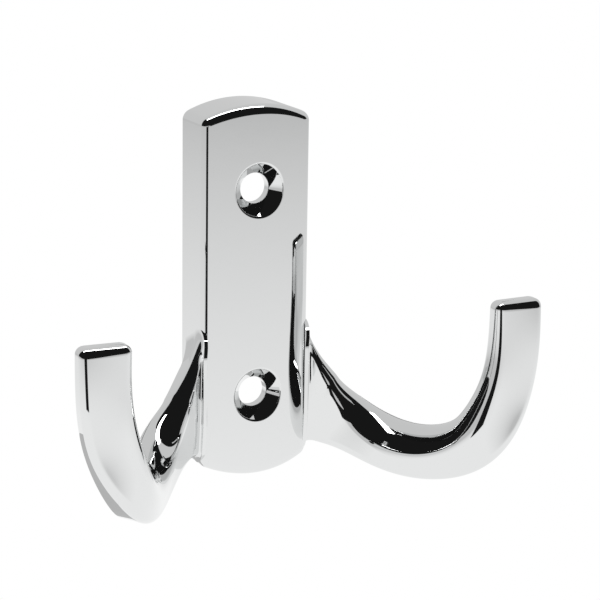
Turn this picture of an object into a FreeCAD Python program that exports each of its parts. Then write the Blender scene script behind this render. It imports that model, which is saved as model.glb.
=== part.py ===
"""Double robe hook, cast in one piece: a crowned back plate with two countersunk
screw holes and a pair of J-shaped arms that grow out of its sides.

Frame: X to the right, Y into the wall, Z up, in millimetres. The back of the plate
lies on the wall at Y = 0, and the origin is midway between the two screw holes.
"""
import FreeCAD, Part
import math
import os

import Sketcher

os.makedirs("parts", exist_ok=True)
doc = FreeCAD.newDocument("DoubleRobeHook")

# Driving dimensions

sheet = doc.addObject("Spreadsheet::Sheet", "Sizes")

sizes = {
    # back plate
    "hole_pitch": 32.0,
    "plate_width": 17.8,
    "side_depth": 7.6,
    "crown_rise": 1.3,
    "side_height": 53.8,
    "end_rise": 2.1,
    "corner_radius": 1.6,
    "front_edge_radius": 1.1,
    "core_wall": 2.5,
    "core_corner_radius": 2.0,
    "cut_margin": 2.0,
    # screw holes
    "bore_diameter": 4.65,
    "countersink_diameter": 8.3,
    "countersink_angle": 80.0,
    "bore_land": 1.4,
    # arms, common to every section
    "front_round": 1.1,
    "back_roundness": 0.85,
    "root_fillet": 0.8,
    "tip_fillet": 0.8,
}

# Stations along the right arm, from the plate to the tip: the place of the section's
# centre, its width and thickness, and its twist about the arm in degrees
stations = {
    "root": dict(out=7.4, fwd=3.6, up=-15.9, wide=18.6, thick=4.2, twist=0.0),
    "neck": dict(out=10.8, fwd=5.6, up=-19.2, wide=11.2, thick=4.5, twist=4.0),
    "shank": dict(out=15.6, fwd=8.9, up=-22.2, wide=8.0, thick=5.0, twist=6.0),
    "sole": dict(out=20.0, fwd=14.6, up=-24.2, wide=7.4, thick=5.4, twist=0.0),
    "heel": dict(out=24.4, fwd=22.0, up=-24.4, wide=7.4, thick=5.2, twist=-14.0),
    "rise": dict(out=28.7, fwd=26.8, up=-21.0, wide=7.5, thick=4.8, twist=-20.0),
    "upper": dict(out=31.8, fwd=28.6, up=-14.5, wide=7.7, thick=4.3, twist=-14.0),
    "finger": dict(out=33.0, fwd=28.9, up=-7.0, wide=7.9, thick=3.9, twist=-8.0),
    "tip": dict(out=33.3, fwd=28.9, up=1.0, wide=8.0, thick=3.6, twist=-2.0),
}
for station, values in stations.items():
    for key, value in values.items():
        sizes[f"{station}_{key}"] = value

for row, (alias, value) in enumerate(sizes.items(), start=1):
    sheet.set(f"A{row}", alias)
    sheet.set(f"B{row}", f"{value:g}")
    sheet.setAlias(f"B{row}", alias)
doc.recompute()


def size(alias):
    """The value of a cell, as a plain number."""
    return float(sheet.get(alias))


# Helpers for the body

body = doc.addObject("PartDesign::Body", "double_hook")
body.Label = "double_hook"
planes = {feature.Role: feature for feature in body.Origin.OriginFeatures}
vec = FreeCAD.Vector
H_AXIS, V_AXIS, ROOT_POINT = -1, -2, (-1, 1)


def new_sketch(name, plane, placement=None):
    """An empty sketch on one of the body's origin planes, moved by a placement."""
    sketch = body.newObject("Sketcher::SketchObject", name)
    sketch.AttachmentSupport = [(planes[plane], "")]
    sketch.MapMode = "FlatFace"
    if placement:
        sketch.AttachmentOffset = placement
    return sketch


def line(sketch, x1, y1, x2, y2):
    """A straight edge of a sketch; gives its number."""
    return sketch.addGeometry(Part.LineSegment(vec(x1, y1, 0), vec(x2, y2, 0)), False)


def arc_3p(sketch, start, middle, end):
    """An arc through three points of a sketch; gives its number."""
    points = [vec(x, y, 0) for x, y in (start, middle, end)]
    return sketch.addGeometry(Part.Arc(*points), False)


def join(sketch, edges, kind="Coincident"):
    """Tie each edge of a closed outline to the next one where their ends meet."""
    for first, second in zip(edges, edges[1:] + edges[:1]):
        ends = [(a, b) for a in (1, 2) for b in (1, 2)]
        near = min(ends, key=lambda ab: sketch.getPoint(first, ab[0]).distanceToPoint(
            sketch.getPoint(second, ab[1])))
        sketch.addConstraint(Sketcher.Constraint(kind, first, near[0], second, near[1]))


def dimension(sketch, name, kind, *args, formula):
    """A named dimension whose value follows a formula of the sheet's cells."""
    value = float(sketch.evalExpression(formula))
    number = sketch.addConstraint(Sketcher.Constraint(kind, *args, value))
    sketch.renameConstraint(number, name)
    sketch.setExpression(f"Constraints.{name}", formula)


def edge_names(shape, wanted):
    """The names of a shape's edges that pass a test."""
    return [f"Edge{i}" for i, edge in enumerate(shape.Edges, start=1) if wanted(edge)]


def face_edge_names(shape, face):
    """The names of the edges round one face of a shape."""
    return edge_names(shape, lambda edge: any(edge.isSame(other) for other in face.Edges))


def round_edges(name, base, names, radius_alias):
    """Round the named edges of a feature by one radius of the sheet."""
    fillet = body.newObject("PartDesign::Fillet", name)
    fillet.Base = (base, names)
    fillet.setExpression("Radius", f"Sizes.{radius_alias}")
    body.Tip = fillet
    doc.recompute()
    return fillet


# Back plate: the plan profile, flat behind and crowned in front, drawn up the height

plan = new_sketch("PlanProfile", "XY_Plane")
half_width = size("plate_width") / 2
side_depth = size("side_depth")
full_depth = side_depth + size("crown_rise")
back = line(plan, -half_width, 0, half_width, 0)
right = line(plan, half_width, 0, half_width, -side_depth)
crown = arc_3p(plan, (half_width, -side_depth), (0, -full_depth), (-half_width, -side_depth))
left = line(plan, -half_width, -side_depth, -half_width, 0)
join(plan, [back, right, crown, left])
plan.addConstraint(Sketcher.Constraint("Horizontal", back))
plan.addConstraint(Sketcher.Constraint("Vertical", right))
plan.addConstraint(Sketcher.Constraint("Vertical", left))
plan.addConstraint(Sketcher.Constraint("Equal", left, right))
plan.addConstraint(Sketcher.Constraint("Symmetric", back, 1, back, 2, *ROOT_POINT))
dimension(plan, "width", "DistanceX", back, 1, back, 2, formula="Sizes.plate_width")
dimension(plan, "depth", "DistanceY", right, 2, right, 1, formula="Sizes.side_depth")
dimension(plan, "crown_radius", "Radius", crown,
          formula="(Sizes.plate_width^2 / 4 + Sizes.crown_rise^2) / (2 * Sizes.crown_rise)")

blank = body.newObject("PartDesign::Pad", "PlateBlank")
blank.Profile = plan
blank.Midplane = True
blank.setExpression("Length", "Sizes.side_height + 2 * Sizes.end_rise")
doc.recompute()


# The crowned ends: what lies above the top arc and below the bottom arc is cut away

ends = new_sketch("EndArcs", "XZ_Plane")
half_side = size("side_height") / 2
end_rise = size("end_rise")
margin = size("cut_margin")


def end_cut(sign, name):
    """The region outside one end arc; the sign is 1 above and -1 below."""
    side = half_width + margin
    far = sign * (half_side + end_rise + margin)
    shoulder = sign * half_side
    arc = arc_3p(ends, (half_width, shoulder), (0, sign * (half_side + end_rise)),
                 (-half_width, shoulder))
    ledge_left = line(ends, -half_width, shoulder, -side, shoulder)
    wall_left = line(ends, -side, shoulder, -side, far)
    roof = line(ends, -side, far, side, far)
    wall_right = line(ends, side, far, side, shoulder)
    ledge_right = line(ends, side, shoulder, half_width, shoulder)
    join(ends, [arc, ledge_left, wall_left, roof, wall_right, ledge_right])
    for edge in (ledge_left, ledge_right):
        ends.addConstraint(Sketcher.Constraint("Horizontal", edge))
    for edge in (wall_left, wall_right):
        ends.addConstraint(Sketcher.Constraint("Vertical", edge))
    ends.addConstraint(Sketcher.Constraint("Symmetric", roof, 1, roof, 2, V_AXIS))
    ends.addConstraint(Sketcher.Constraint("Symmetric", arc, 1, arc, 2, V_AXIS))
    low, high = ((-1, 1), (arc, 1)) if sign > 0 else ((arc, 1), (-1, 1))
    dimension(ends, f"{name}_shoulder", "DistanceY", *low, *high, formula="Sizes.side_height / 2")
    dimension(ends, f"{name}_radius", "Radius", arc,
              formula="(Sizes.plate_width^2 / 4 + Sizes.end_rise^2) / (2 * Sizes.end_rise)")
    dimension(ends, f"{name}_chord", "DistanceX", ledge_left, 1, ledge_right, 2,
              formula="Sizes.plate_width")
    dimension(ends, f"{name}_reach", "DistanceX", ledge_left, 2, ledge_left, 1,
              formula="Sizes.cut_margin")
    dimension(ends, f"{name}_far", "DistanceY", *((wall_right, 2, wall_right, 1) if sign > 0
              else (wall_right, 1, wall_right, 2)), formula="Sizes.end_rise + Sizes.cut_margin")


end_cut(1, "top")
end_cut(-1, "bottom")
cut_ends = body.newObject("PartDesign::Pocket", "CrownedEnds")
cut_ends.Profile = ends
cut_ends.Type = "ThroughAll"
cut_ends.Midplane = True
doc.recompute()
print("plate", round(cut_ends.Shape.Volume, 2), "of", round(blank.Shape.Volume, 2))


# Rounded corners and front edge of the plate, before the arms are added


def is_corner(edge):
    """A corner edge of the plate, which runs straight from back to front."""
    box = edge.BoundBox
    return box.XLength < 1e-6 and box.ZLength < 1e-6 and box.YLength > side_depth / 2


corners = round_edges("Corners", cut_ends, edge_names(cut_ends.Shape, is_corner), "corner_radius")


def front_face(shape):
    """The crowned front face: the largest face whose middle lies furthest forward."""
    return min(shape.Faces, key=lambda face: (round(face.BoundBox.YMin, 3), -face.Area))


front_round = round_edges(
    "FrontEdge", corners, face_edge_names(corners.Shape, front_face(corners.Shape)),
    "front_edge_radius")
print("rounded plate", round(front_round.Shape.Volume, 2))

# Arms: flat-fronted, round-backed sections along a curve through the stations

names = list(stations)
places = [vec(size(f"{n}_out"), -size(f"{n}_fwd"), size(f"{n}_up")) for n in names]
spine = Part.BSplineCurve()
spine.interpolate(Points=places)


def section_placement(name, place):
    """The frame of a section: x towards the front, y across the arm, z along it."""
    along = spine.tangent(spine.parameter(place))[0]
    if name == names[0]:
        along = vec(1, 0, 0)
    front = vec(0, -1, 0)
    front = (front - along * front.dot(along)).normalize()
    turn = FreeCAD.Rotation(along, size(f"{name}_twist"))
    front = turn.multVec(front)
    across = along.cross(front)
    return FreeCAD.Placement(place, FreeCAD.Rotation(front, across, along, "ZXY"))


def arm_section(name, place):
    """One closed section of the arm, with small front corners and large back ones."""
    sketch = new_sketch(f"Section_{name}", "XY_Plane", section_placement(name, place))
    hx = size(f"{name}_thick") / 2
    hy = size(f"{name}_wide") / 2
    rf = size("front_round")
    rb = hx * size("back_roundness")
    slant = math.sqrt(0.5)
    front_top = (hx - rf, hy - rf)
    back_top = (rb - hx, hy - rb)
    front = line(sketch, hx, rf - hy, hx, hy - rf)
    arc_ft = arc_3p(sketch, (hx, front_top[1]),
                    (front_top[0] + rf * slant, front_top[1] + rf * slant), (front_top[0], hy))
    top = line(sketch, front_top[0], hy, back_top[0], hy)
    arc_bt = arc_3p(sketch, (back_top[0], hy),
                    (back_top[0] - rb * slant, back_top[1] + rb * slant), (-hx, back_top[1]))
    back = line(sketch, -hx, back_top[1], -hx, -back_top[1])
    arc_bb = arc_3p(sketch, (-hx, -back_top[1]),
                    (back_top[0] - rb * slant, -back_top[1] - rb * slant), (back_top[0], -hy))
    bottom = line(sketch, back_top[0], -hy, front_top[0], -hy)
    arc_fb = arc_3p(sketch, (front_top[0], -hy),
                    (front_top[0] + rf * slant, -front_top[1] - rf * slant), (hx, -front_top[1]))
    join(sketch, [front, arc_ft, top, arc_bt, back, arc_bb, bottom, arc_fb], "Tangent")
    sketch.addConstraint(Sketcher.Constraint("Vertical", back))
    sketch.addConstraint(Sketcher.Constraint("Horizontal", top))
    sketch.addConstraint(Sketcher.Constraint("Horizontal", bottom))
    sketch.addConstraint(Sketcher.Constraint("Equal", arc_ft, arc_fb))
    sketch.addConstraint(Sketcher.Constraint("Equal", arc_bt, arc_bb))
    sketch.addConstraint(Sketcher.Constraint("Symmetric", front, 1, front, 2, H_AXIS))
    dimension(sketch, "front_half", "DistanceX", *ROOT_POINT, front, 1,
              formula=f"Sizes.{name}_thick / 2")
    dimension(sketch, "back_half", "DistanceX", back, 1, *ROOT_POINT,
              formula=f"Sizes.{name}_thick / 2")
    dimension(sketch, "wide", "DistanceY", bottom, 1, top, 2, formula=f"Sizes.{name}_wide")
    dimension(sketch, "front_radius", "Radius", arc_ft, formula="Sizes.front_round")
    dimension(sketch, "back_radius", "Radius", arc_bt,
              formula=f"Sizes.{name}_thick / 2 * Sizes.back_roundness")
    return sketch


sections = [arm_section(name, place) for name, place in zip(names, places)]
doc.recompute()
arm = body.newObject("PartDesign::AdditiveLoft", "RightArm")
arm.Profile = sections[0]
arm.Sections = sections[1:]
body.Tip = arm
doc.recompute()
left_arm = body.newObject("PartDesign::Mirrored", "LeftArm")
left_arm.Originals = [arm]
left_arm.MirrorPlane = (planes["YZ_Plane"], [""])
body.Tip = left_arm
doc.recompute()
print("with arms", round(left_arm.Shape.Volume, 2))


# Fillets where the arms meet the plate, and rounds about the ends of the arms


def is_root(edge):
    """An edge where an arm leaves the flat side of the plate."""
    box = edge.BoundBox
    on_side = box.XLength < 1e-4 and abs(abs(box.XMin) - half_width) < 1e-4
    edge_of_front = size("front_edge_radius") - side_depth
    return on_side and box.YMax < -1e-3 and box.YMin > edge_of_front + 1e-3


roots = round_edges("ArmRoots", left_arm, edge_names(left_arm.Shape, is_root), "root_fillet")


def is_tip(face):
    """The flat end of an arm."""
    centre = face.CenterOfMass
    flat = face.Surface.TypeId == "Part::GeomPlane"
    return flat and centre.z > size("finger_up") and abs(centre.x) > size("sole_out")


tip_edges = [name for face in filter(is_tip, roots.Shape.Faces)
             for name in face_edge_names(roots.Shape, face)]
tips = round_edges("ArmTips", roots, tip_edges, "tip_fillet")

# Screw holes: a countersink and a short bore, turned about a line from front to back

bore = size("bore_diameter") / 2
rim = size("countersink_diameter") / 2
slope = math.tan(math.radians(size("countersink_angle") / 2))
sink_depth = (rim - bore) / slope
hole_height = size("hole_pitch") / 2
front_y = -full_depth - margin
hole = new_sketch("HoleProfile", "YZ_Plane")
mouth = line(hole, front_y, hole_height, front_y, hole_height + rim + margin * slope)
cone = line(hole, front_y, hole_height + rim + margin * slope,
            sink_depth - full_depth, hole_height + bore)
wall = line(hole, sink_depth - full_depth, hole_height + bore, margin, hole_height + bore)
foot = line(hole, margin, hole_height + bore, margin, hole_height)
axis = line(hole, margin, hole_height, front_y, hole_height)
join(hole, [mouth, cone, wall, foot, axis])
for edge in (mouth, foot):
    hole.addConstraint(Sketcher.Constraint("Vertical", edge))
for edge in (wall, axis):
    hole.addConstraint(Sketcher.Constraint("Horizontal", edge))
dimension(hole, "height", "DistanceY", *ROOT_POINT, axis, 1, formula="Sizes.hole_pitch / 2")
dimension(hole, "behind", "DistanceX", *ROOT_POINT, axis, 1, formula="Sizes.cut_margin")
dimension(hole, "bore", "DistanceY", foot, 2, foot, 1, formula="Sizes.bore_diameter / 2")
dimension(hole, "front", "DistanceX", mouth, 1, *ROOT_POINT,
          formula="Sizes.side_depth + Sizes.crown_rise + Sizes.cut_margin")
dimension(hole, "throat", "DistanceX", wall, 1, *ROOT_POINT,
          formula="Sizes.side_depth + Sizes.crown_rise - (Sizes.countersink_diameter"
                  " - Sizes.bore_diameter) / 2 / tan(Sizes.countersink_angle / 2 * 1 deg)")
dimension(hole, "mouth", "DistanceY", mouth, 1, mouth, 2,
          formula="Sizes.countersink_diameter / 2"
                  " + Sizes.cut_margin * tan(Sizes.countersink_angle / 2 * 1 deg)")
screw_hole = body.newObject("PartDesign::Groove", "UpperHole")
screw_hole.Profile = hole
screw_hole.ReferenceAxis = (hole, [f"Edge{axis + 1}"])
screw_hole.Angle = 360
body.Tip = screw_hole
doc.recompute()
lower_hole = body.newObject("PartDesign::Mirrored", "LowerHole")
lower_hole.Originals = [screw_hole]
lower_hole.MirrorPlane = (planes["XY_Plane"], [""])
body.Tip = lower_hole
doc.recompute()
print("tips", round(tips.Shape.Volume, 2), "holes", round(lower_hole.Shape.Volume, 2))

# Core: the plate is hollow behind, so that only a short bore is left behind each cone

core = new_sketch("CoreOutline", "XZ_Plane")
core_half = half_width - size("core_wall")
core_top = half_side - size("core_wall")
core_round = size("core_corner_radius")
slant = math.sqrt(0.5) * core_round
inner_half = core_half - core_round
inner_top = core_top - core_round
roof = line(core, -inner_half, core_top, inner_half, core_top)
side_r = line(core, core_half, inner_top, core_half, -inner_top)
floor = line(core, inner_half, -core_top, -inner_half, -core_top)
side_l = line(core, -core_half, -inner_top, -core_half, inner_top)
arc_tr = arc_3p(core, (inner_half, core_top), (inner_half + slant, inner_top + slant),
                (core_half, inner_top))
arc_br = arc_3p(core, (core_half, -inner_top), (inner_half + slant, -inner_top - slant),
                (inner_half, -core_top))
arc_bl = arc_3p(core, (-inner_half, -core_top), (-inner_half - slant, -inner_top - slant),
                (-core_half, -inner_top))
arc_tl = arc_3p(core, (-core_half, inner_top), (-inner_half - slant, inner_top + slant),
                (-inner_half, core_top))
join(core, [roof, arc_tr, side_r, arc_br, floor, arc_bl, side_l, arc_tl], "Tangent")
core.addConstraint(Sketcher.Constraint("Horizontal", floor))
core.addConstraint(Sketcher.Constraint("Vertical", side_l))
core.addConstraint(Sketcher.Constraint("Symmetric", roof, 1, roof, 2, V_AXIS))
core.addConstraint(Sketcher.Constraint("Symmetric", side_r, 1, side_r, 2, H_AXIS))
for arc in (arc_br, arc_bl, arc_tl):
    core.addConstraint(Sketcher.Constraint("Equal", arc_tr, arc))
dimension(core, "corner", "Radius", arc_tr, formula="Sizes.core_corner_radius")
dimension(core, "half_width", "DistanceX", *ROOT_POINT, side_r, 1,
          formula="Sizes.plate_width / 2 - Sizes.core_wall")
dimension(core, "half_height", "DistanceY", *ROOT_POINT, roof, 2,
          formula="Sizes.side_height / 2 - Sizes.core_wall")
cored = body.newObject("PartDesign::Pocket", "CoredBack")
cored.Profile = core
cored.setExpression(
    "Length",
    "Sizes.side_depth + Sizes.crown_rise - Sizes.bore_land - (Sizes.countersink_diameter"
    " - Sizes.bore_diameter) / 2 / tan(Sizes.countersink_angle / 2 * 1 deg)")
cored.Reversed = True
body.Tip = cored
doc.recompute()
print("core takes", round(lower_hole.Shape.Volume - cored.Shape.Volume, 2), "of depth",
      round(float(cored.Length), 3))

# Check every feature, then write the finished casting

for feature in doc.Objects:
    if {"Invalid", "Error"} & set(feature.State):
        raise RuntimeError(f"{feature.Name} is {feature.State}")
shape = body.Shape
if shape.isNull() or not shape.isValid() or len(shape.Solids) != 1:
    raise RuntimeError("the casting is not one valid solid")
print("double_hook", round(shape.Volume, 1), "mm3, faces", len(shape.Faces))
shape.exportStep("parts/double_hook.step")
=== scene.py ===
# %% [markdown]
# # A chromed double robe hook
#
# The real object is one small zinc casting with bright chrome on it: an upright plate with a
# crowned front and two countersunk screw holes, and a pair of J-shaped arms that flare out of its
# sides. The imported model is loaded first. It gives the body that the finished casting rides on
# and the place of everything.

# %% Load the frame
import bpy
import numpy as np
from mathutils import Matrix


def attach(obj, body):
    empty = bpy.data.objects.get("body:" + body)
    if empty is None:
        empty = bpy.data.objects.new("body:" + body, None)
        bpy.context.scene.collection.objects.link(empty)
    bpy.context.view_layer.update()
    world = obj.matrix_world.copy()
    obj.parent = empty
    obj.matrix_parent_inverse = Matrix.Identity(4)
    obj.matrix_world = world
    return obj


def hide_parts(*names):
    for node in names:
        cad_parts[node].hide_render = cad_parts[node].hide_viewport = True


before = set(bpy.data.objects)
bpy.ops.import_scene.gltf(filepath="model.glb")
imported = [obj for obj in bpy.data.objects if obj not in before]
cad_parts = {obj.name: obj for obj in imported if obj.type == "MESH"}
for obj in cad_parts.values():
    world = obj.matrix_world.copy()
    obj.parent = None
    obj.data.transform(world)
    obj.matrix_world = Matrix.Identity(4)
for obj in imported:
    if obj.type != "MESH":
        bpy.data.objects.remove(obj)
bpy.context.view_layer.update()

# %% [markdown]
# ## How a surface is made here
#
# Chrome shows every flaw in a mesh, because it mirrors the room: a normal that is one degree out
# bends a reflection by two. Subdivision or a remesh would be quick ways to a smooth casting, but
# both round off what should be crisp. So each surface is worked out as a function of two
# parameters on a grid, and its exact normals are kept beside its points. The grids are then
# welded into one mesh, and each face keeps the normals of the grid that it came from, so an edge
# is sharp just where two grids disagree.

# %% Grids welded into one mesh
MM = 0.001
patches = []


def unit(v):
    """Vectors scaled to length one along the last axis."""
    return v / np.maximum(np.linalg.norm(v, axis=-1, keepdims=True), 1e-12)


def add_patch(points, normals, closed=False):
    """Keep one grid of points and normals; a closed grid's last column joins its first.
    Its faces are wound so that they look the way the normals point."""
    rows, cols = points.shape[:2]
    index = np.arange(rows * cols).reshape(rows, cols)
    if closed:
        index = np.hstack([index, index[:, :1]])
    quads = np.stack([index[:-1, :-1], index[:-1, 1:], index[1:, 1:], index[1:, :-1]], -1)
    quads = quads.reshape(-1, 4)
    p = points.reshape(-1, 3)
    n = normals.reshape(-1, 3)
    across = np.cross(p[quads[:, 2]] - p[quads[:, 0]], p[quads[:, 3]] - p[quads[:, 1]])
    if (across * n[quads].sum(1)).sum() < 0:
        quads = quads[:, ::-1]
    patches.append((p, n, quads))


def ruled(a, b, normals, rows, closed=False):
    """Keep a grid of straight lines from one row of points to another, or to one point, where
    every row has the same normals."""
    t = np.linspace(0, 1, rows)[:, None, None]
    points = a * (1 - t) + b * t
    add_patch(points, np.broadcast_to(normals, points.shape), closed)


def mirrored(axis):
    """Add the mirror image of every grid kept so far, across the plane square to an axis."""
    flip = np.ones(3)
    flip[axis] = -1
    for points, normals, quads in list(patches):
        patches.append((points * flip, normals * flip, quads[:, ::-1]))


def weld(name):
    """One mesh from the kept grids: points that coincide become one, a quad with two equal
    corners becomes a triangle, and every corner keeps its own grid's normal."""
    starts = np.cumsum([0] + [len(p) for p, _, _ in patches[:-1]])
    points = np.concatenate([p for p, _, _ in patches])
    normals = np.concatenate([unit(n) for _, n, _ in patches])
    quads = np.concatenate([q + s for (_, _, q), s in zip(patches, starts)])
    _, first, same = np.unique(np.round(points, 4), axis=0, return_index=True, return_inverse=True)
    corners = same.reshape(-1)[quads]
    keep = corners != np.roll(corners, 1, axis=1)
    alive = keep.sum(1) > 2
    quads, corners, keep = quads[alive], corners[alive], keep[alive]
    totals = keep.sum(1)
    mesh = bpy.data.meshes.new(name)
    mesh.vertices.add(len(first))
    mesh.vertices.foreach_set("co", (points[first] * MM).ravel())
    mesh.loops.add(int(totals.sum()))
    mesh.loops.foreach_set("vertex_index", corners[keep].astype(np.int32))
    mesh.polygons.add(len(totals))
    mesh.polygons.foreach_set("loop_start", np.concatenate([[0], np.cumsum(totals)[:-1]]))
    mesh.update(calc_edges=True)
    mesh.polygons.foreach_set("use_smooth", np.ones(len(totals), bool))
    mesh.normals_split_custom_set(normals[quads[keep]])
    mesh.validate()
    print(name, len(mesh.vertices), "points,", int((totals - 2).sum()), "triangles")
    return mesh


# %% [markdown]
# ## The plate's sizes
#
# The plate is a flat-backed bar, crowned in front by an arc across its width and at both ends by
# another. The sizes are the casting's own, in millimetres, and an arc's radius follows from its
# width and its rise. A box with rounded edges would be the short way, but it has no crown.

# %% Sizes of the plate
HALF_WIDTH, SIDE_DEPTH, CROWN = 8.9, 7.6, 1.3  # the crown is the front's rise over the sides
SIDE_HALF, END_RISE = 26.9, 2.1  # half the height at the corners, and what an end adds
CORNER, EDGE, END_EDGE = 1.6, 1.15, 1.55  # radii in plan, and of the front edge at side and end
HOLE_Z, BORE, RIM, SLOPE = 16.0, 2.325, 4.15, np.tan(np.radians(40))  # height, radii, half angle
LAND, WALL = 1.4, 2.5  # length of the bore left below the cone, and the wall round the core
FRONT_R = (HALF_WIDTH ** 2 + CROWN ** 2) / (2 * CROWN)
END_R = (HALF_WIDTH ** 2 + END_RISE ** 2) / (2 * END_RISE)
DEPTH = SIDE_DEPTH + CROWN
THROAT = DEPTH - (RIM - BORE) / SLOPE
CORE_DEPTH = THROAT - LAND
CORE_HALF, CORE_TOP, CORE_R = HALF_WIDTH - WALL, SIDE_HALF - WALL, 2.0
print("crown radius", round(FRONT_R, 2), "end radius", round(END_R, 2),
      "core depth", round(CORE_DEPTH, 2))


def front_y(x, inset=0.0):
    """Depth of the crowned front at x: a cylinder upright behind the plate, made smaller by an
    inset."""
    return FRONT_R - DEPTH - np.sqrt((FRONT_R - inset) ** 2 - x ** 2)


def front_normal(x, inset=0.0):
    """The cylinder's outward normal at x."""
    return unit(np.stack([x, front_y(x, inset) - (FRONT_R - DEPTH), np.zeros_like(x)], -1))


# %% [markdown]
# ## The outline of the upper half
#
# The two halves of the plate are mirror images, so only the upper one is worked out. Its outline
# runs up the right side, round a corner arc, over the crowned end, round the other corner and
# down the left side. Each sample has its place and its outward normal, so that the same outline
# can be moved inwards by any distance.

# %% Outline of the plate and of the core behind it


def arc(cx, cz, radius, a0, a1, count):
    """Points and normals on an arc between two angles."""
    a = np.linspace(a0, a1, count)
    n = np.stack([np.cos(a), np.sin(a)], -1)
    return np.array([cx, cz]) + radius * n, n


def outline(half, side_top, corner, end_centre, end_radius, counts):
    """An upper half outline: side, corner, crowned or flat end, and the same back down."""
    sides, bends, ends = counts
    cx = half - corner
    if end_radius:
        cz = end_centre + np.sqrt((end_radius - corner) ** 2 - cx ** 2)
        lean = np.arctan2(cz - end_centre, cx)
        top, top_n = arc(0, end_centre, end_radius, lean, np.pi / 2, ends)
    else:
        cz = side_top - corner
        lean = np.pi / 2
        top = np.stack([np.linspace(cx, 0, ends), np.full(ends, side_top)], -1)
        top_n = np.tile([0.0, 1.0], (ends, 1))
    z = cz * np.sin(np.linspace(0, np.pi / 2, sides))
    side = np.stack([np.full(sides, half), z], -1)
    side_n = np.tile([1.0, 0.0], (sides, 1))
    bend, bend_n = arc(cx, cz, corner, 0, lean, bends)
    p = np.concatenate([side, bend[1:], top[1:]])
    n = np.concatenate([side_n, bend_n[1:], top_n[1:]])
    flip = np.array([-1.0, 1.0])
    return np.concatenate([p, p[-2::-1] * flip]), np.concatenate([n, n[-2::-1] * flip])


COUNTS = (48, 10, 22)  # samples on half a side, on a corner and on half an end
edge_xz, edge_n = outline(HALF_WIDTH, None, CORNER, SIDE_HALF + END_RISE - END_R, END_R, COUNTS)
core_xz, core_n = outline(CORE_HALF, CORE_TOP, CORE_R, None, None, COUNTS)
print("outline samples", len(edge_xz), "top", round(edge_xz[:, 1].max(), 2))


# %% [markdown]
# ## Sides, front edge and back of the plate
#
# A polished casting has no sharp front edge. A Bevel modifier could round it, but it leaves the
# normals to the mesh, and chrome wants them exact. So a ball of the edge's radius is rolled along
# inside the corner instead. It touches the side in the direction of the side's normal and the
# front in the direction of the front's, and the edge is the arc between the two. The ball is
# larger at the two ends, where polishing takes more off. The back is flat and hollow.

# %% The rounded front edge


def lift(xz, y):
    """Plan points with their depth put in between, as x, y, z."""
    return np.stack(np.broadcast_arrays(xz[..., 0], y, xz[..., 1]), -1)


def turn(a, b, rows):
    """Directions that swing evenly from one row of unit vectors to another."""
    angle = np.arccos(np.clip((a * b).sum(-1, keepdims=True), -1, 1))
    t = np.linspace(0, 1, rows)[:, None, None]
    return (np.sin((1 - t) * angle) * a + np.sin(t * angle) * b) / np.sin(angle)


wall_n = lift(edge_n, 0.0)
ball = EDGE + (END_EDGE - EDGE) * edge_n[:, 1] ** 2
ball_xz = edge_xz - ball[:, None] * edge_n
ball_y = front_y(ball_xz[:, 0], ball)
edge_turn = turn(wall_n, front_normal(ball_xz[:, 0], ball), rows=9)
edge_points = lift(ball_xz, ball_y)[None] + ball[:, None] * edge_turn
add_patch(edge_points, edge_turn)
print("edge radius", ball.min().round(2), "to", ball.max().round(2))

# %% The side, the flat back and the hollow's wall
TO_WALL = [0.0, 1.0, 0.0]  # the direction from the hook to the wall that it hangs on
back_edge = lift(edge_xz, 0.0)
core_back = lift(core_xz, 0.0)
core_front = lift(core_xz, -CORE_DEPTH)
ruled(back_edge, edge_points[0], wall_n, rows=7)
ruled(back_edge, core_back, TO_WALL, rows=2)
ruled(core_back, core_front, -lift(core_n, 0.0), rows=5)
side_depth = -edge_points[0, :, 1]
print("side depth", side_depth.min().round(2), "to", side_depth.max().round(2))

# %% [markdown]
# ## The front and its countersink
#
# Each screw hole is countersunk for a flat-headed screw. A boolean would cut it in one step, but
# leaves long thin faces round it, which show in chrome. Seen from the hole, every point of this
# half's outline lies in a direction of its own. So rays are drawn from the hole's axis to the
# outline and to the line where the halves meet, and the front, the countersink and the bore are
# all rings round that axis. The cone cuts the crowned front in a curve, which is found by going
# back and forth between the two formulas.

# %% Rays from the screw hole to the outline
ACROSS = 34  # samples on the line that the two halves share
front_xz = edge_points[-1][:, [0, 2]]
middle = np.linspace(-1, 1, ACROSS)[1:-1]


def with_middle(xz):
    """The outline closed along the line z = 0 that the two halves share."""
    return np.concatenate([xz, np.stack([middle * xz[0, 0], np.zeros_like(middle)], -1)])


front_ring = with_middle(front_xz)
angle = np.arctan2(front_ring[:, 1] - HOLE_Z, front_ring[:, 0])
ray = np.stack([np.cos(angle), np.sin(angle)], -1)
centre = np.array([0.0, HOLE_Z])
lip = np.full(len(ray), RIM)
for _ in range(20):
    lip = BORE + SLOPE * (-front_y(lip * ray[:, 0]) - THROAT)
print("rays", len(ray), "lip radius", lip.min().round(3), "to", lip.max().round(3))

# %% The rounded lip of the countersink


def at(radius, y):
    """A ring round the hole's axis at a radius and a depth."""
    return lift(centre + np.asarray(radius)[..., None] * ray, y)


SOFT, TIGHT = 0.22, 0.10  # how far the rounding reaches from the outer rim and from the throat
cone_n = unit(np.stack([-ray[:, 0], np.full(len(ray), -SLOPE), -ray[:, 1]], -1))
wide_n = front_normal((lip + SOFT) * ray[:, 0])
cone_dir = np.array([SLOPE, 1.0]) / np.hypot(SLOPE, 1.0)
lip_low = at(lip - SOFT * cone_dir[0], -THROAT - (lip - SOFT * cone_dir[0] - BORE) / SLOPE)
lip_mid = at(lip, front_y(lip * ray[:, 0]))
lip_high = at(lip + SOFT, front_y((lip + SOFT) * ray[:, 0]))


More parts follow.
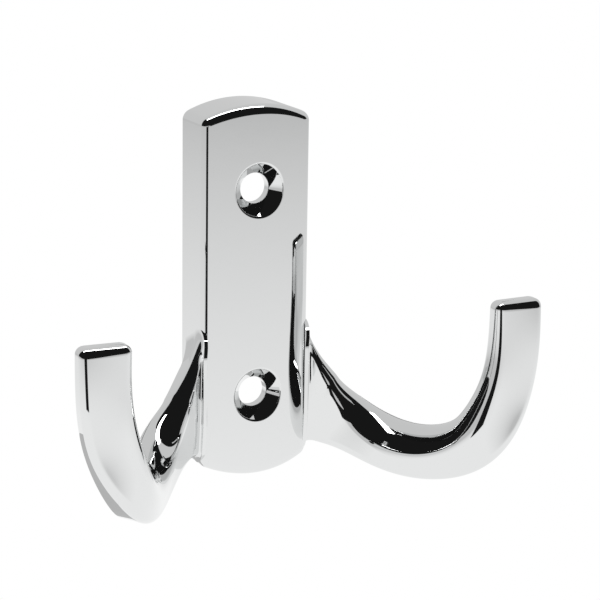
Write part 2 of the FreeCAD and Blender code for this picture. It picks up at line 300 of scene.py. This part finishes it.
def bend_between(a, b, c, rows):
    """A curve from a to c that leaves towards b and arrives from it: the quadratic one."""
    t = np.linspace(0, 1, rows)[:, None, None]
    return a * (1 - t) ** 2 + b * 2 * t * (1 - t) + c * t ** 2


LIP_ROWS, THROAT_ROWS = 7, 5
add_patch(bend_between(lip_low, lip_mid, lip_high, LIP_ROWS), turn(cone_n, wide_n, LIP_ROWS),
          closed=True)
print("lip depth", -lip_low[:, 1].max().round(2), "to", -lip_high[:, 1].min().round(2))

# %% The front, the cone and the bore
share = np.linspace(0, 1, 22)[:, None, None]
spread = (centre + (lip + SOFT)[:, None] * ray) * (1 - share) + front_ring * share
add_patch(lift(spread, front_y(spread[..., 0])), front_normal(spread[..., 0]), closed=True)

bore_n = lift(-ray, 0.0)
bore_r = np.full(len(ray), BORE)
throat_high = at(bore_r + TIGHT * cone_dir[0], -THROAT - TIGHT * cone_dir[1])
throat_mid = at(bore_r, -THROAT)
throat_low = at(bore_r, -THROAT + TIGHT)
ruled(throat_high, lip_low, cone_n, rows=6, closed=True)
add_patch(bend_between(throat_low, throat_mid, throat_high, THROAT_ROWS),
          turn(bore_n, cone_n, THROAT_ROWS), closed=True)
bore_back = at(bore_r, -CORE_DEPTH)
ceiling = lift(with_middle(core_xz), -CORE_DEPTH)
ruled(throat_low, bore_back, bore_n, rows=3, closed=True)
ruled(bore_back, ceiling, TO_WALL, rows=6, closed=True)
mirrored(axis=2)
plate_patches = list(patches)
print("plate grids", len(plate_patches))

# %% [markdown]
# ## The arms
#
# Each arm is one section carried along a curve. It starts as a tall thin web in the plate's side,
# narrows into a bar, sweeps down, outwards and forwards, and turns up into a finger. The section
# has four sides and four rounded corners. The corner between front and top is much the widest,
# and it makes the black band in the chrome along the bend. Near the plate the top also falls
# away to the back. A curve modifier would carry one section with one scale, but here the
# width, the thickness and the twist all change on their own, so the arm is worked out as a
# function of the way round the section and the way along the curve. Natural cubic splines run
# through the stations, because a jump in curvature would show in the chrome as a kink.

# %% Stations of the right arm
# Millimetres out, forward and up, then the width, the thickness, the twist in degrees, the
# radius between front and top, the radius between top and back, and the lean in degrees.
STATIONS = np.array([
    [7.4, 2.7, -15.7, 18.8, 5.0, 4.0, 1.0, 1.0, 40],  # inside the plate's side
    [11.4, 6.3, -19.5, 12.0, 4.8, 24.0, 1.9, 1.2, 38],  # the web, just outside the plate
    [14.9, 8.7, -21.8, 8.8, 5.2, 21.5, 3.2, 1.1, 28],  # where the web becomes a bar
    [19.3, 13.7, -24.5, 7.5, 5.5, 19.0, 4.2, 0.8, 14],  # the lowest part, on the plate's side of it
    [24.5, 22.1, -24.5, 7.6, 5.5, -13.0, 4.3, 0.8, 8],  # the lowest part, further forward
    [27.9, 26.9, -21.6, 8.1, 5.0, -22.0, 3.6, 1.0, 6],  # the heel, where the bar turns up
    [31.7, 28.6, -14.5, 8.2, 4.3, -3.0, 2.2, 1.5, 0],  # the foot of the finger
    [33.15, 28.9, -6.0, 7.9, 3.9, -2.0, 1.5, 1.5, 0],  # half way up the finger
    [33.2, 28.9, 0.6, 7.9, 3.6, 0.0, 1.1, 1.5, 0],  # the end of the finger
])
PATH = STATIONS[:, :3] * [1, -1, 1]  # the hook's front looks towards -Y
SHAPE = STATIONS[:, 3:]
KNOTS = np.concatenate([[0], np.cumsum(np.linalg.norm(np.diff(PATH, axis=0), axis=1))])
print("stations", len(STATIONS), "lengths between them", np.diff(KNOTS).round(1))

# %% A smooth curve through the stations


def natural_spline(values, s, slope=False):
    """A curve through the stations whose slope and curvature never jump and whose ends are
    straight; or its slope at s."""
    h = np.diff(KNOTS)
    n = len(KNOTS)
    system = np.eye(n)
    right = np.zeros((n,) + values.shape[1:])
    rise = np.diff(values, axis=0) / h.reshape((-1,) + (1,) * (values.ndim - 1))
    i = np.arange(1, n - 1)
    system[i, i - 1], system[i, i], system[i, i + 1] = h[:-1], 2 * (h[:-1] + h[1:]), h[1:]
    right[1:-1] = 6 * np.diff(rise, axis=0)
    bend = np.linalg.solve(system, right)
    k = np.clip(np.searchsorted(KNOTS, s, side="right") - 1, 0, n - 2)
    a = (KNOTS[k + 1] - s)[..., None]
    b = (s - KNOTS[k])[..., None]
    d = h[k][..., None]
    if slope:
        return (rise[k] + bend[k + 1] * (3 * b ** 2 - d ** 2) / (6 * d)
                - bend[k] * (3 * a ** 2 - d ** 2) / (6 * d))
    return ((a * values[k] + b * values[k + 1]) / d
            + (a ** 3 / d - a * d) * bend[k] / 6 + (b ** 3 / d - b * d) * bend[k + 1] / 6)


END = KNOTS[-1]
print("middle of the arm at", natural_spline(PATH, np.array([END / 2])).round(1))

# %% The section and its place on the curve
FOOT_RADIUS = 1.2  # of both lower corners
ARC = 12  # points on each corner
STRAIGHT = (8, 10, 8, 16)  # points on the underside, the back, the top and the front


def section(s, trim=0.0):
    """The ring of section points at each s, trimmed inwards by a distance. Four straight sides
    are joined by four arcs. The top falls towards the back: the upper back arc is lower by the
    distance between the upper arcs' centres times the tangent of the lean, less what the
    difference of their radii makes up for."""
    wide, thick, _, upper, back, lean = np.moveaxis(natural_spline(SHAPE, s), -1, 0)
    hx, hy = thick / 2 - trim, wide / 2 - trim
    upper, back, lower = upper - trim, back - trim, FOOT_RADIUS - trim + 0 * hx
    lean = np.radians(lean)
    fall = (2 * hx - upper - back) * np.tan(lean) - (upper - back) * (1 / np.cos(lean) - 1)

    def swing(x, y, r, a0, a1):
        """An arc round x, y with radius r, from one angle to another."""
        a = a0 + (a1 - a0) * np.linspace(0, 1, ARC)
        return np.stack([x[..., None] + r[..., None] * np.cos(a),
                         y[..., None] + r[..., None] * np.sin(a)], -1)

    level = 0 * hx[..., None]
    upwards = level + 1.5 * np.pi - lean[..., None]
    arcs = [swing(hx - lower, hy - lower, lower, level, level + np.pi / 2),
            swing(back - hx, hy - back, back, level + np.pi / 2, level + np.pi),
            swing(back - hx, fall + back - hy, back, level + np.pi, upwards),
            swing(hx - upper, upper - hy, upper, upwards, level + 2 * np.pi)]
    ring = []
    for k, count in enumerate(STRAIGHT):
        t = np.linspace(0, 1, count + 2)[1:-1, None]
        ring += [arcs[k], arcs[k][..., -1:, :] * (1 - t) + arcs[(k + 1) % 4][..., :1, :] * t]
    return np.concatenate(ring, -2)


def place_section(s, ring):
    """Set a ring of section points square to the curve at s, with its flat to the front, and
    turn it by the twist. Before the second station its plane swings round, so that the first
    ring lies parallel to the plate's side."""
    centre = natural_spline(PATH, s)
    along = unit(natural_spline(PATH, s, slope=True))
    near = np.clip(1 - s / KNOTS[1], 0, 1)[..., None]
    along = unit(along * (1 - near) + np.array([1.0, 0, 0]) * near)
    facing = np.array([0.0, -1.0, 0.0])
    facing = unit(facing - along * (along @ facing)[..., None])
    across = np.cross(along, facing)
    twist = np.radians(natural_spline(SHAPE, s)[..., 2])[..., None]
    facing, across = (facing * np.cos(twist) + across * np.sin(twist),
                      across * np.cos(twist) - facing * np.sin(twist))
    return (centre[..., None, :] + ring[..., :1] * facing[..., None, :]
            + ring[..., 1:] * across[..., None, :])


STEPS, ROOT_STEPS = 700, 260  # rows of the table, and those that can lie at the plate's side
table_s = np.linspace(0, END, STEPS)
table = place_section(table_s, section(table_s))
print("arm length", round(END, 1), "points round it", table.shape[1])

# %% [markdown]
# ## Where an arm meets the plate
#
# A casting has a fillet there. A bevel along the crease of a union is the usual way, but this
# fillet is wide over the arm and next to nothing behind it. So each line along the arm is stopped
# a little before the plate's side, and a short curve takes it on until it lies flat against the
# side, further out than the arm itself. The chrome then runs from arm to plate with no edge. The
# curve is a cubic one whose two handles point at the knee, the place where the line would run
# into the side.

# %% Lines along the arm


def lines_at(s):
    """Points of the arm where every line round it has its own s, read from the fine table."""
    place = s / END * (STEPS - 1)
    low = np.clip(place.astype(int), 0, STEPS - 2)
    t = (place - low)[..., None]
    j = np.arange(table.shape[1])
    return table[low, j] * (1 - t) + table[low + 1, j] * t


def crossing(x):
    """The s at which each line round the arm reaches a distance x from the middle."""
    grid = table[:ROOT_STEPS, :, 0]
    return np.array([np.interp(x_j, line, table_s[:ROOT_STEPS]) for x_j, line in zip(x, grid.T)])


rim_points = lines_at(crossing(np.full(table.shape[1], HALF_WIDTH)))
print("the arm leaves the plate from height", rim_points[:, 2].min().round(1),
      "to", rim_points[:, 2].max().round(1))

# %% The fillet
REACH = {"front": 0.8, "back": 0.15, "top": 3.0, "foot": 1.8}  # of the fillet, in millimetres
AHEAD = 0.05  # the step along a line that shows its direction
SHALLOW = 0.3  # a line that nears the plate less steeply counts as this steep
TUCK = 0.001  # how far inside the plate's side the fillet ends
HOLD = 0.58  # how far the curve's two handles reach towards the knee
tangent = np.roll(rim_points, -1, axis=0) - np.roll(rim_points, 1, axis=0)
outward = unit(np.stack([np.zeros(len(tangent)), tangent[:, 2], -tangent[:, 1]], -1))
outward *= np.sign((outward * (rim_points - rim_points.mean(0))).sum())
facing = np.stack([-outward[:, 1], outward[:, 1], outward[:, 2], -outward[:, 2]])
reach = np.array(list(REACH.values())) @ np.clip(facing, 0, 1) ** 2
start_s = crossing(HALF_WIDTH + reach)
start = lines_at(start_s)
leaving = unit(lines_at(start_s + AHEAD) - start)
knee = start - leaving * ((start[:, :1] - HALF_WIDTH) / np.maximum(leaving[:, :1], SHALLOW))
knee[:, 0] = HALF_WIDTH
foot = knee + outward * reach[:, None]
foot[:, 0] = HALF_WIDTH - TUCK
t = np.linspace(0, 1, 16)[:, None, None]
fillet = (foot * (1 - t) ** 3 + 3 * (foot + HOLD * (knee - foot)) * t * (1 - t) ** 2
          + 3 * (start + HOLD * (knee - start)) * t ** 2 * (1 - t) + start * t ** 3)
print("fillet reaches", reach.min().round(2), "to", reach.max().round(2))

# %% The bar and the rounded end of the finger
TIP_ROUND, SUNK = 1.2, 0.6  # radius of the finger's end, and how deep the arm starts in the plate
run = np.linspace(0, 1, 250)[1:, None]
bar = lines_at(start_s + run * (END - TIP_ROUND - start_s))
last = np.full(1, END)
end_dir = unit(natural_spline(PATH, last, slope=True))
tip = np.concatenate([place_section(last, section(last, TIP_ROUND * (1 - np.cos(a))))
                      + end_dir * TIP_ROUND * (np.sin(a) - 1)
                      for a in np.linspace(0, np.pi / 2, 9)[1:]])
buried = foot * [0, 1, 1] + [HALF_WIDTH - SUNK, 0, 0]
rows = np.concatenate([buried[None], foot[None], fillet[1:], bar, tip])
print("rows of the arm", len(rows), "top of the finger", tip[..., 2].max().round(2))

# %% The whole casting as one mesh


def grid_normals(p):
    """Normals of a grid closed one way: the cross product of its two directions."""
    along = np.gradient(p, axis=0)
    round_it = np.roll(p, -1, axis=1) - np.roll(p, 1, axis=1)
    return unit(np.cross(round_it, along))


arm_rows = rows[1:]
arm_n = grid_normals(arm_rows)
arm_n *= np.sign((arm_n * (arm_rows - arm_rows.mean(1, keepdims=True))).sum())
arm_n[0] = [1.0, 0.0, 0.0]
patches.clear()
add_patch(arm_rows, arm_n, closed=True)
ruled(rows[-1], rows[-1].mean(0), end_dir, rows=5, closed=True)
ruled(rows[1], rows[0], outward, rows=2, closed=True)
ruled(rows[0], rows[0].mean(0), [-1.0, 0.0, 0.0], rows=5, closed=True)
mirrored(axis=0)
patches.extend(plate_patches)
casting_mesh = weld("hook_casting")
casting = bpy.data.objects.new("hook_casting", casting_mesh)
bpy.context.collection.objects.link(casting)
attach(casting, "root")
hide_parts("double_hook")

# %% [markdown]
# ## Bright chrome
#
# The casting is polished zinc with copper, nickel and a very thin layer of chromium on it. It
# mirrors the room almost neutrally, with about three quarters of its light here, and is not
# quite perfect: polishing leaves the surface faintly wavy over a millimetre or two, and handling
# leaves a haze that only shows as a slightly softer edge in a reflection. A plain metallic shader
# would look like a drawing of a mirror, so one noise goes into its bump and another into its
# roughness.

# %% Colours and nodes


def linear(hex_colour):
    """An sRGB hex colour as linear red, green, blue and alpha."""
    s = np.array([int(hex_colour[i:i + 2], 16) for i in (1, 3, 5)]) / 255
    return (*np.where(s <= 0.04045, s / 12.92, ((s + 0.055) / 1.055) ** 2.4), 1.0)


def node(tree, kind, settings=None, links=None):
    """Add a node, set its properties and sockets, and link its inputs."""
    made = tree.nodes.new(kind)
    for key, value in (settings or {}).items():
        if isinstance(key, int) or key in made.inputs.keys():
            made.inputs[key].default_value = value
        else:
            setattr(made, key, value)
    for key, source in (links or {}).items():
        tree.links.new(source, made.inputs[key])
    return made


def material(name):
    """An empty node material and its output."""
    made = bpy.data.materials.new(name)
    made.use_nodes = True
    made.node_tree.nodes.clear()
    return made, made.node_tree, made.node_tree.nodes.new("ShaderNodeOutputMaterial")


# %% Chrome plate, polished
WAVES, HAZE = 420.0, 90.0  # to the metre: waves 2.4 mm long, and patches of haze 11 mm wide
chrome, tree, out = material("bright_chrome_plate_polished")
place = node(tree, "ShaderNodeTexCoord").outputs["Object"]
waves = node(tree, "ShaderNodeTexNoise", {"Scale": WAVES, "Detail": 1.0, "Roughness": 0.4},
             {"Vector": place})
ripple = node(tree, "ShaderNodeBump", {"Strength": 0.02, "Distance": 0.0001},
              {"Height": waves.outputs[0]})
haze = node(tree, "ShaderNodeTexNoise", {"Scale": HAZE, "Detail": 4.0}, {"Vector": place})
gloss = node(tree, "ShaderNodeMapRange",
             {"From Min": 0.3, "From Max": 0.8, "To Min": 0.015, "To Max": 0.05},
             {"Value": haze.outputs[0]})
shader = node(tree, "ShaderNodeBsdfPrincipled", {"Base Color": linear("#E4E5E5"), "Metallic": 1.0},
              {"Roughness": gloss.outputs[0], "Normal": ripple.outputs[0]})
tree.links.new(shader.outputs[0], out.inputs["Surface"])
casting.data.materials.append(chrome)
print(chrome.name, "nodes", len(tree.nodes))

# %% [markdown]
# ## The studio
#
# A mirror looks like what stands round it. A picture of a room could be the world's background,
# but cards can be moved one by one, and each brings its own band in the chrome near its place.
# The hook hangs over a wide pale floor whose glow is painted brightest close by, as a pool of
# light, with a dark room above the horizon in front, a soft light overhead and a pale wall behind
# and to the right. A dark stand before the camera draws the thin upright lines, and a grey card
# low behind the hook keeps its lower outlines from melting into the white. The floor and the
# world are plain white to the camera, which doesn't see the cards. The chrome sees the floor's
# painted fade into the distance and the wall as a pale grey, because its soft shades come from
# there.

# %% The world


def seen_plain(tree, colour):
    """White to the camera, and a colour of its own in every other ray."""
    eye = node(tree, "ShaderNodeLightPath").outputs["Is Camera Ray"]
    white = {"data_type": "RGBA", 7: (1, 1, 1, 1)}
    return node(tree, "ShaderNodeMix", white, {0: eye, 6: colour})


world = bpy.data.worlds.new("studio")
bpy.context.scene.world = world
world.use_nodes = True
tree = world.node_tree
tree.nodes.clear()
wall_grey = node(tree, "ShaderNodeRGB")
wall_grey.outputs[0].default_value = linear("#D8D8D8")
background = node(tree, "ShaderNodeBackground", {"Strength": 1.0},
                  {"Color": seen_plain(tree, wall_grey.outputs[0]).outputs[2]})
node(tree, "ShaderNodeOutputWorld", links={"Surface": background.outputs[0]})
print(world.name, "nodes", len(tree.nodes))

# %% Studio pieces and the floor


def glowing(name, colour):
    """A plain material that shows one colour whatever the light."""
    made, tree, out = material(name)
    glow = node(tree, "ShaderNodeEmission", {"Color": linear(colour)})
    tree.links.new(glow.outputs[0], out.inputs["Surface"])
    return made


def staged(name, points, faces, finish):
    """A studio piece, which is no part of the object."""
    mesh = bpy.data.meshes.new(name)
    mesh.from_pydata(points, [], faces)
    mesh.materials.append(finish)
    made = bpy.data.objects.new(name, mesh)
    bpy.context.collection.objects.link(made)
    return made


FLOOR_Z, FLOOR_HALF = -0.12, 20  # metres
FADE_START, FADE_STOP, FAR_TONE = 0.3, 0.9, 0.62  # metres from the middle, and linear brightness
# The floor glows instead of being lit: white to the camera, and to every other ray a painted pool of
# light, brightest near the hook and fading to a darker tone far away.
floor_with_painted_falloff, tree, out = material("pale_floor_painted_light_falloff")
where = node(tree, "ShaderNodeTexCoord").outputs["Object"]
away = node(tree, "ShaderNodeVectorMath", {"operation": "LENGTH"}, {0: where})
fade = node(tree, "ShaderNodeMapRange", {"From Min": FADE_START, "From Max": FADE_STOP},
            {"Value": away.outputs["Value"]})
near_and_far = {"data_type": "RGBA", 6: (1, 1, 1, 1), 7: (FAR_TONE, FAR_TONE, FAR_TONE, 1)}
tone = node(tree, "ShaderNodeMix", near_and_far, {0: fade.outputs[0]})
seen = seen_plain(tree, tone.outputs[2])
glow = node(tree, "ShaderNodeEmission", links={"Color": seen.outputs[2]})
tree.links.new(glow.outputs[0], out.inputs["Surface"])
signs = ((-1, -1), (1, -1), (1, 1), (-1, 1))
staged("floor", [(x * FLOOR_HALF, y * FLOOR_HALF, FLOOR_Z) for x, y in signs], [(0, 1, 2, 3)], floor_with_painted_falloff)
print("floor", 2 * FLOOR_HALF, "metres wide at", FLOOR_Z)

# %% The dark room, the stand and the grey card


def sky_patch(name, start, stop, low, high, finish, radius=3.0):
    """Part of a dome round the hook, between two bearings and two heights in degrees. The
    bearing is 0 straight in front and grows towards the left."""
    bearing, height = np.meshgrid(np.radians(np.linspace(start, stop, 33)),
                                  np.radians(np.linspace(low, high, 17)))
    p = radius * np.stack([-np.sin(bearing) * np.cos(height), -np.cos(bearing) * np.cos(height),
                           np.sin(height)], -1)
    index = np.arange(p[..., 0].size).reshape(bearing.shape)
    quads = np.stack([index[:-1, :-1], index[:-1, 1:], index[1:, 1:], index[1:, :-1]], -1)
    made = staged(name, p.reshape(-1, 3).tolist(), quads.reshape(-1, 4).tolist(), finish)
    made.visible_camera = False
    made.visible_diffuse = False
    made.visible_shadow = False
    print(name, "from bearing", start, "to", stop, "and height", low, "to", high)


black_cloth = glowing("black_cloth", "#1A1A1A")
grey_cloth = glowing("grey_cloth", "#C2C2C2")
sky_patch("dark_room", -80, 130, 0.4, 84, black_cloth)
sky_patch("dark_stand", 14, 44, -20.5, 0.4, black_cloth, radius=0.32)
sky_patch("grey_foot", 125, 180, -62, -30, grey_cloth, radius=0.13)

# %% The soft light overhead
softbox = bpy.data.lights.new("overhead_softbox", "AREA")
softbox.shape = "RECTANGLE"
softbox.size, softbox.size_y = 1.6, 0.26
softbox.energy = 8.6
softbox_object = bpy.data.objects.new("overhead_softbox", softbox)
softbox_object.location = (0, 0, 1.5)
bpy.context.collection.objects.link(softbox_object)
print(softbox_object.name, "at", tuple(softbox_object.location))

# %% [markdown]
# ## The camera
#
# The picture was taken with a long lens from the hook's left and a little above. The camera's
# direction, distance, lens and tilt are the ones at which the plate's outline, its edges and the
# rims of both holes all fall where they do in the picture. It could be set by eye, but then an
# error in the view would be taken for one in the arms.

# %% Camera
FOCAL, DISTANCE = 2219.0, 0.34506  # pixels, metres
azimuth, elevation, roll = np.radians([26.43, 14.25, 0.88])
PICTURE, ORIGIN_AT = 600, np.array([234.98, 280.98])  # pixels: the side, and where the origin falls
right = np.array([np.cos(azimuth), -np.sin(azimuth), 0])
ahead = np.array([np.sin(azimuth) * np.cos(elevation), np.cos(azimuth) * np.cos(elevation),
                  -np.sin(elevation)])
above = np.cross(right, ahead)
shift = (ORIGIN_AT - PICTURE / 2) * [1, -1] * DISTANCE / FOCAL
side = np.cos(roll) * right + np.sin(roll) * above
top = -np.sin(roll) * right + np.cos(roll) * above
camera = bpy.data.objects.new("camera", bpy.data.cameras.new("camera"))
bpy.context.collection.objects.link(camera)
camera.data.sensor_width = 36.0
camera.data.lens = camera.data.sensor_width * FOCAL / PICTURE
camera.data.clip_start = 0.01
turned = np.eye(4)
turned[:3, 0], turned[:3, 1], turned[:3, 2] = side, top, -ahead
turned[:3, 3] = -DISTANCE * ahead - shift[0] * side - shift[1] * top
camera.matrix_world = Matrix(turned.tolist())
bpy.context.scene.camera = camera
bpy.context.scene.view_settings.view_transform = "Standard"
print("camera at", np.round(turned[:3, 3], 4), "lens", round(camera.data.lens, 1))
